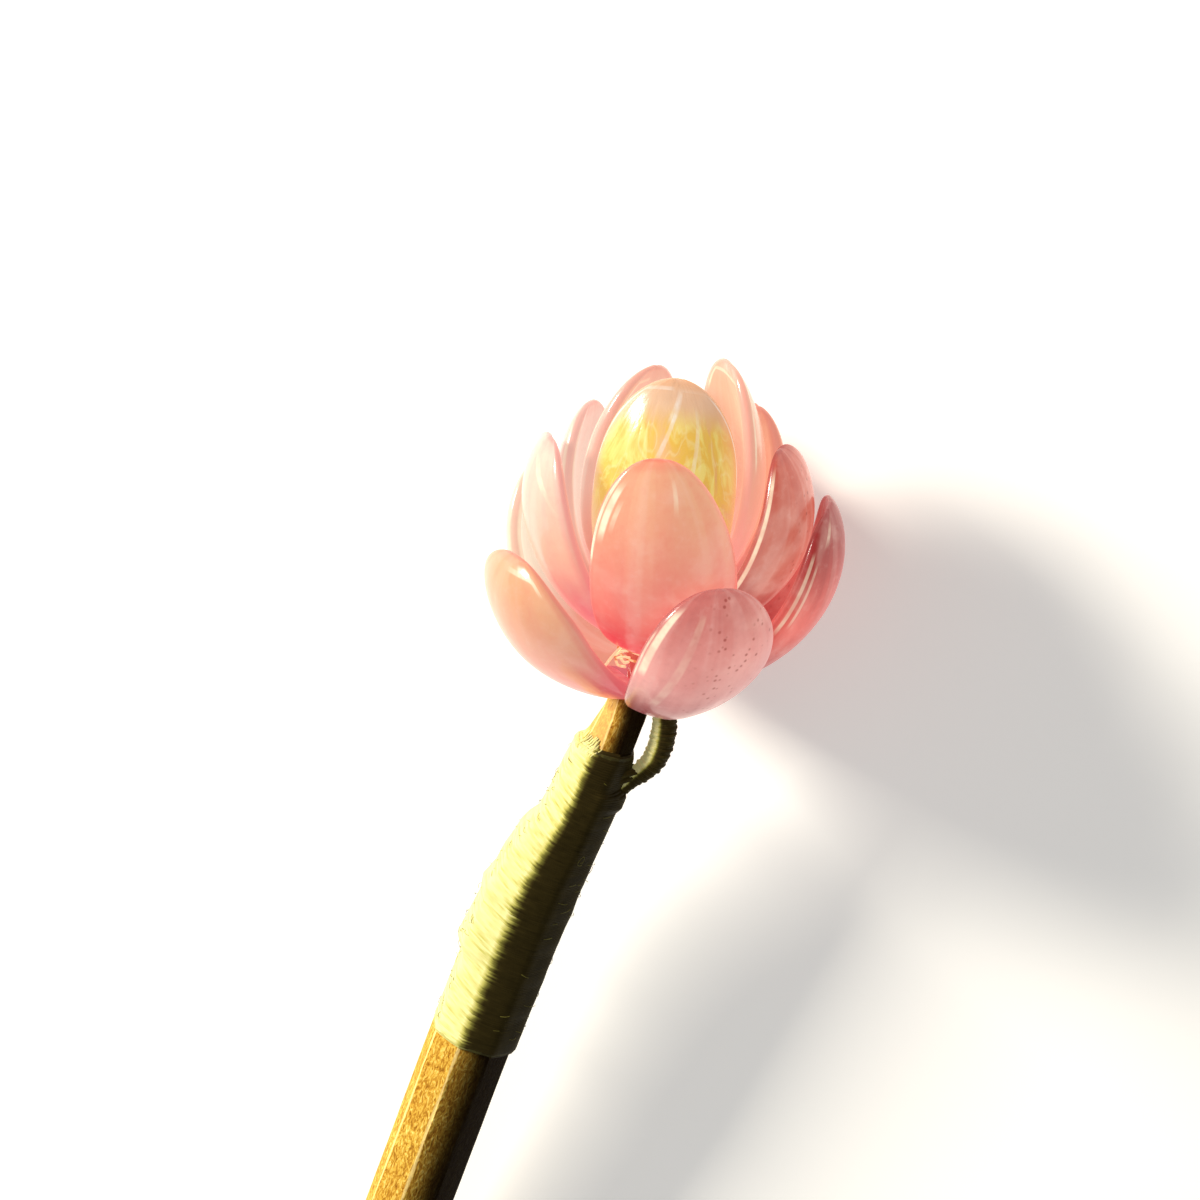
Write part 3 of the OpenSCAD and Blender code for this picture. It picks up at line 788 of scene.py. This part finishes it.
def petal_rings(row, ring, crease=(0.0, 0.0), seed=0.0):
    """A petal's sections, from its root to its tip, and its tip, in the flower's frame."""
    azimuth, root_h, belly, tip_r, tip_h, half_w, cup, skew, roll, sag, root_w, blunt = row
    root_r, widest, handle_1, handle_2, rise = ring
    t = (1 - (1 - np.arange(petal_steps) / petal_steps) ** 1.5)[:, None]
    rib = [np.array(p) for p in ((root_r, root_h), (belly * handle_1, root_h + sag),
                                 (belly * handle_2, root_h + rise), (tip_r, tip_h))]
    at = ((1 - t) ** 3 * rib[0] + 3 * t * (1 - t) ** 2 * rib[1] + 3 * t * t * (1 - t) * rib[2]
          + t ** 3 * rib[3])
    way = (1 - t) ** 2 * (rib[1] - rib[0]) + 2 * t * (1 - t) * (rib[2] - rib[1]) + t * t * (rib[3] - rib[2])
    way /= np.linalg.norm(way, axis=1)[:, None]
    opening = root_w + (1 - root_w) * (1 - (1 - np.minimum(t / widest, 1)) ** 2) ** 0.8
    closing = (1 - (np.maximum(t - widest, 0) / (1 - widest)) ** 2.2) ** blunt
    half = half_w * np.where(t < widest, opening, closing)
    half_t = petal_thickness / 2 * np.sqrt(1 - t ** 14) * (0.8 + 0.2 * np.minimum(1, t * 2))
    # two faces and, at each side, a round rim about as deep as the glass is thick
    rim = np.minimum(half_t * 1.15, half * 0.97)
    face = np.linspace(1, -1, face_points)[None]
    bow = np.linspace(math.pi / 2, 3 * math.pi / 2, rim_points + 2)[None, 1:-1]
    flat = half - rim
    sideways = np.concatenate([flat * face, -flat + rim * np.cos(bow),
                               -flat * face, flat - rim * np.cos(bow)], axis=1)
    high = shoulder + (1 - shoulder) * (1 - face ** 2)
    round_edge = shoulder * np.sin(bow)
    level_up = np.concatenate([high, round_edge, -high, -round_edge], axis=1)
    across = sideways / half
    uneven = 0.05 * np.sin(3.3 * across + 7 * t + seed) + 0.04 * np.sin(5.1 * across - 9 * t + 2 * seed)
    fold = crease[1] * np.exp(-((across - crease[0]) / crease_width) ** 2) * np.sin(math.pi * t) ** 0.5
    off = cup + half_t * level_up + uneven * np.minimum(1, 4 * t) + fold
    bend = sideways / cup
    side = off * np.sin(bend)
    out = off * np.cos(bend) - cup
    tilt = np.radians(roll) * np.minimum(1, 3 * t)
    side, out = side * np.cos(tilt) - out * np.sin(tilt), side * np.sin(tilt) + out * np.cos(tilt)
    x = at[:, :1] + out * way[:, 1:]
    y = side + skew * t * t
    z = at[:, 1:] - out * way[:, :1]
    turn = math.radians(azimuth)
    cosine, sine = math.cos(turn), math.sin(turn)
    tip = (tip_r * cosine - skew * sine, tip_r * sine + skew * cosine, tip_h)
    rings = np.stack([x * cosine - y * sine, x * sine + y * cosine, z], axis=-1)
    length = math.dist(rib[0], rib[3]) * 1.1
    inset = np.minimum(half * (1 - np.abs(across)), (1 - t) * length)
    return rings, tip, {"along": np.broadcast_to(t, across.shape), "across": across, "inset": inset}


def highlights_on(start, along, across, inset, highlights):
    """The painted highlights: along an edge, or from one share across the petal to another."""
    broken = 0.62 + noise(start, object_places(start), 520, 2, 0.6).rise(0.35, 0.65) * 0.38
    drawn = None
    for kind, first, second, width, begin, end, strength in highlights:
        if kind == "edge":
            # a side of 0 takes in both edges
            off = abs(inset - second)
            line = (across * first + (0.2 if first == 0 else 0)).rise(0.0, 0.2) * strength
        else:
            off = abs(across - (along - begin) * ((second - first) / (end - begin)) - first)
            line = broken * strength
        line = line * (1 - off.rise(width * 0.5, width)) * along.rise(begin - 0.02, begin + 0.04)
        line = line * (1 - along.rise(end - 0.04, end + 0.01))
        drawn = line if drawn is None else drawn.math("MAXIMUM", drawn, line)
    return drawn * broken


def rose_glass(name, root, belly, tip, seed, bubbles, glow, highlights, dusk):
    """Translucent rose glass, deeper at its root, with painted shade on its low side, painted highlights,
    streaks, perhaps bubbles, and a painted glow.
    """
    made, start = new_finish(name)
    along = start.mark("along")
    across = start.mark("across")
    inset = start.mark("inset")
    own = object_places(start)
    streak = noise(start, start.vector(X=across * 2.2, Y=along * 0.7, Z=seed), 2.2, 3, 0.5, 0.4)
    cloud = noise(start, own, 220, 3, 0.5, 0.5)
    place = along + (streak - 0.5) * 0.16
    colour = place.rise(0.26, 0.66).tint(paint(root), paint(belly))
    colour = place.rise(0.56, 0.98).tint(colour, paint(tip))
    colour = (cloud.rise(0.5, 0.75) * 0.18).tint(colour, paint("#ffd9c6"))
    band = noise(start, start.vector(X=across * 1.6, Y=along * 0.3, Z=seed + 5), 2.2, 2, 0.5)
    grit = noise(start, own, 1100, 3, 0.6)
    pale = band.rise(0.50, 0.64) * 0.09 + grit.rise(0.52, 0.7) * 0.06
    colour = pale.tint(colour, paint("#ffe2d4"))
    deep = (1 - band.rise(0.36, 0.50)) * 0.09 + (1 - grit.rise(0.34, 0.48)) * 0.06
    colour = deep.tint(colour, paint(root))
    rim = (1 - inset.rise(0.5, 1.1)) * 0.2 + (1 - inset.rise(0.1, 0.35)) * 0.3
    colour = rim.tint(colour, paint(root))
    # painted shade: the low side darkens towards the root's colour
    if dusk:
        colour = (across.rise(-0.8, -0.1) * (1 - along.rise(0.60, 0.80)) * dusk).tint(colour, paint(root))
    # painted highlights in cream
    if highlights:
        colour = highlights_on(start, along, across, inset, highlights).tint(colour, paint("#fff4d2"))
    if bubbles:
        spot = start.node("ShaderNodeTexVoronoi", {}, {"Vector": own, "Scale": 1250.0}, "Distance")
        pick = noise(start, own, 260, 1)
        speck = (1 - spot.rise(0.10, 0.32)) * pick.rise(0.43, 0.51) * (across.rise(-0.5, 0.1) * bubbles)
        colour = (speck * 0.7).tint(colour, paint("#94382e"))
    # the base is dim, and most of the colour is a painted glow standing in for light through the glass
    body = start.node("ShaderNodeVectorMath", {"operation": "SCALE"}, {0: colour, "Scale": 0.24})
    cover(start, {"Base Color": body, "Roughness": 0.25 + cloud * 0.10,
                  "Normal": (cloud + band * 0.8).bump(0.3, 0.0003),
                  "Specular IOR Level": 0.3, "Subsurface Weight": 0.4,
                  "Subsurface Radius": (1, 0.5, 0.4), "Subsurface Scale": 0.003,
                  "Coat Weight": 0.3, "Coat Roughness": 0.06,
                  "Emission Color": colour, "Emission Strength": glow})
    return made


def bud_glass(name, highlights):
    """The glass in front of the heart, which carries the heart's yellow as upright flames, with painted
    highlights and a painted glow.
    """
    made, start = new_finish(name)
    along = start.mark("along")
    across = start.mark("across")
    inset = start.mark("inset")
    flame = noise(start, start.vector(X=across * 2.0, Y=along * 4.2, Z=4.0), 1.25, 4, 0.55, 1.3)
    thin = noise(start, start.vector(X=across * 2.2, Y=along * 2.6, Z=9.0), 1.5, 2, 0.5, 1.4)
    cloud = noise(start, object_places(start), 420, 3)
    colour = across.rise(-0.6, 0.7).tint(paint("#f4c892"), paint("#eeb074"))
    middle = along.rise(0.42, 0.66) * (1 - along.rise(0.86, 0.96)) * inset.rise(0.6, 2.4)
    middle = middle * (1 - across.rise(0.5, 0.9) * 0.5)
    colour = (middle * flame.rise(0.30, 0.48) * 0.92).tint(colour, paint("#f2c452"))
    colour = (middle * flame.rise(0.48, 0.60) * 0.8).tint(colour, paint("#fae684"))
    colour = (middle * (1 - abs(thin - 0.5).rise(0.0, 0.04)) * 0.28).tint(colour, paint("#fff2b8"))
    colour = (along.rise(0.85, 0.955) * 0.9).tint(colour, cloud.tint(paint("#e2ae88"), paint("#f0ccb0")))
    colour = ((1 - inset.rise(0.3, 1.2)) * 0.45).tint(colour, paint("#eaa878"))
    # painted highlights in near-white
    colour = highlights_on(start, along, across, inset, highlights).tint(colour, paint("#fff8ee"))
    # the base is dim, and most of the colour is a painted glow
    body = start.node("ShaderNodeVectorMath", {"operation": "SCALE"}, {0: colour, "Scale": 0.3})
    cover(start, {"Base Color": body, "Roughness": 0.2 + cloud * 0.1,
                  "Normal": (flame + cloud * 0.3).bump(0.4, 0.0004),
                  "Coat Weight": 0.4, "Coat Roughness": 0.08, "Subsurface Weight": 0.3,
                  "Subsurface Radius": (1, 0.6, 0.3), "Subsurface Scale": 0.002,
                  "Emission Color": colour, "Emission Strength": 0.72})
    return made


FINISHES = {
    # root, belly, tip, bubbles, painted glow, record's finish
    "petal_outer_1": ("#8e3e42", "#f0a69c", "#c8726a", 1.0, 0.96, "dusky_rose_glass"),
    "petal_outer_2": ("#941620", "#ee7468", "#942e2a", 0.5, 0.94, "rose_glass"),
    "petal_outer_3": ("#d96b74", "#e58f86", "#dc8f85", 0.0, 0.80, "rose_glass"),
    "petal_outer_4": ("#e5757c", "#eb9a8c", "#e8a890", 0.0, 0.75, "rose_glass"),
    "petal_outer_5": ("#f2a48c", "#f8f0d4", "#f8ecd6", 0.0, 0.74, "rose_glass"),
    "petal_outer_6": ("#ee6a70", "#f2ac90", "#f0b286", 0.0, 0.72, "peach_glass"),
    "petal_middle_1": ("#e43e48", "#f08e7e", "#eeae88", 0.0, 0.88, "rose_glass"),
    "petal_middle_2": ("#8c2c34", "#cc7464", "#c4604e", 1.0, 0.96, "dusky_rose_glass"),
    "petal_middle_3": ("#e07870", "#e68c6c", "#eaa080", 0.0, 0.86, "peach_glass"),
    "petal_middle_4": ("#e06a70", "#e89488", "#eaa890", 0.0, 0.80, "rose_glass"),
    "petal_middle_5": ("#ea9c90", "#f8dac6", "#f6d4c4", 0.0, 0.76, "peach_glass"),
    "petal_middle_6": ("#fa848a", "#fcbca2", "#f8d4be", 0.0, 0.72, "rose_glass"),
    "petal_inner_2": ("#fca498", "#f0ac90", "#f0b696", 0.0, 0.82, "rose_glass"),
    "petal_inner_3": ("#ec9c88", "#f6d8c6", "#f2c0ae", 0.0, 0.76, "rose_glass"),
}
# painted highlights and glints along the petals' edges and across their faces
PAINTED_HIGHLIGHTS = {
    # edge: side, mm from the edge; face: shares across at both ends; then width, from, to, strength
    "petal_outer_1": [("edge", -1, 0.9, 0.46, 0.60, 0.94, 0.8), ("edge", -1, 0.3, 0.14, 0.55, 0.85, 0.5),
                      ("face", -0.60, -0.36, 0.07, 0.42, 0.92, 0.18)],
    "petal_outer_2": [("edge", -1, 0.5, 0.22, 0.55, 0.92, 0.5), ("edge", -1, 1.3, 0.22, 0.60, 0.88, 0.35),
                      ("face", -0.62, -0.50, 0.07, 0.93, 0.985, 0.8)],
    "petal_outer_5": [("edge", 1, 0.35, 0.30, 0.60, 0.92, 0.7)],
    "petal_outer_6": [("edge", 1, 1.3, 0.30, 0.90, 0.975, 0.7), ("edge", -1, 0.5, 0.30, 0.10, 0.42, 0.6)],
    "petal_middle_1": [("edge", -1, 1.1, 0.42, 0.78, 0.945, 1.0), ("edge", -1, 0.45, 0.24, 0.68, 0.96, 0.8),
                       ("edge", -1, 1.9, 0.30, 0.82, 0.90, 0.5),
                       ("face", 0.16, 0.24, 0.05, 0.88, 0.955, 0.4)],
    "petal_middle_2": [("edge", -1, 0.3, 0.2, 0.42, 0.97, 0.7)],
    "petal_middle_5": [("edge", 1, 0.3, 0.2, 0.75, 0.97, 0.5)],
    "petal_middle_6": [("face", 0.62, 0.16, 0.12, 0.85, 0.945, 0.95),
                       ("face", 0.80, 0.50, 0.06, 0.81, 0.88, 0.5)],
    "petal_inner_1": [("edge", -1, 0.75, 0.16, 0.60, 0.985, 0.8), ("edge", 1, 0.8, 0.14, 0.68, 0.97, 0.6),
                      ("face", -0.13, 0.10, 0.035, 0.78, 0.965, 0.8),
                      ("face", -0.03, 0.12, 0.07, 0.88, 0.97, 0.5),
                      ("face", 0.22, 0.37, 0.03, 0.70, 0.93, 0.4)],
    "petal_inner_2": [("edge", 0, 0.75, 0.18, 0.90, 0.995, 0.9), ("edge", -1, 0.6, 0.16, 0.74, 0.93, 0.7)],
    "petal_inner_3": [("edge", 1, 0.85, 0.16, 0.68, 0.985, 0.8)],
}
# a long soft fold: its share across the petal, and its height
CREASES = {"petal_outer_1": (-0.15, 0.16), "petal_middle_1": (0.15, 0.08), "petal_outer_6": (0.1, 0.1)}
# how much painted shade, in the root's colour, the petal's low side takes
LOW_SHADES = {"petal_outer_1": 0.34, "petal_outer_2": 0.40}
for number, (name, row) in enumerate(PETALS.items()):
    ring = RINGS[name.split("_")[1]]
    rings, tip, marks = petal_rings(row, ring, CREASES.get(name, (0, 0)), number * 1.3)
    highlights = PAINTED_HIGHLIGHTS.get(name, ())
    if name == "petal_inner_1":
        glass, finish = bud_glass("bud_glass", highlights), "clear_glass"
    else:
        root, belly, end, bubbles, glow, finish = FINISHES[name]
        glass = rose_glass(name.replace("petal", "glass"), root, belly, end, float(number), bubbles,
                           glow, highlights, LOW_SHADES.get(name, 0.0))
    made = skin(name.replace("petal", "glass_petal"), in_flower(rings), in_flower(tip), glass, marks)
    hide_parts(name)
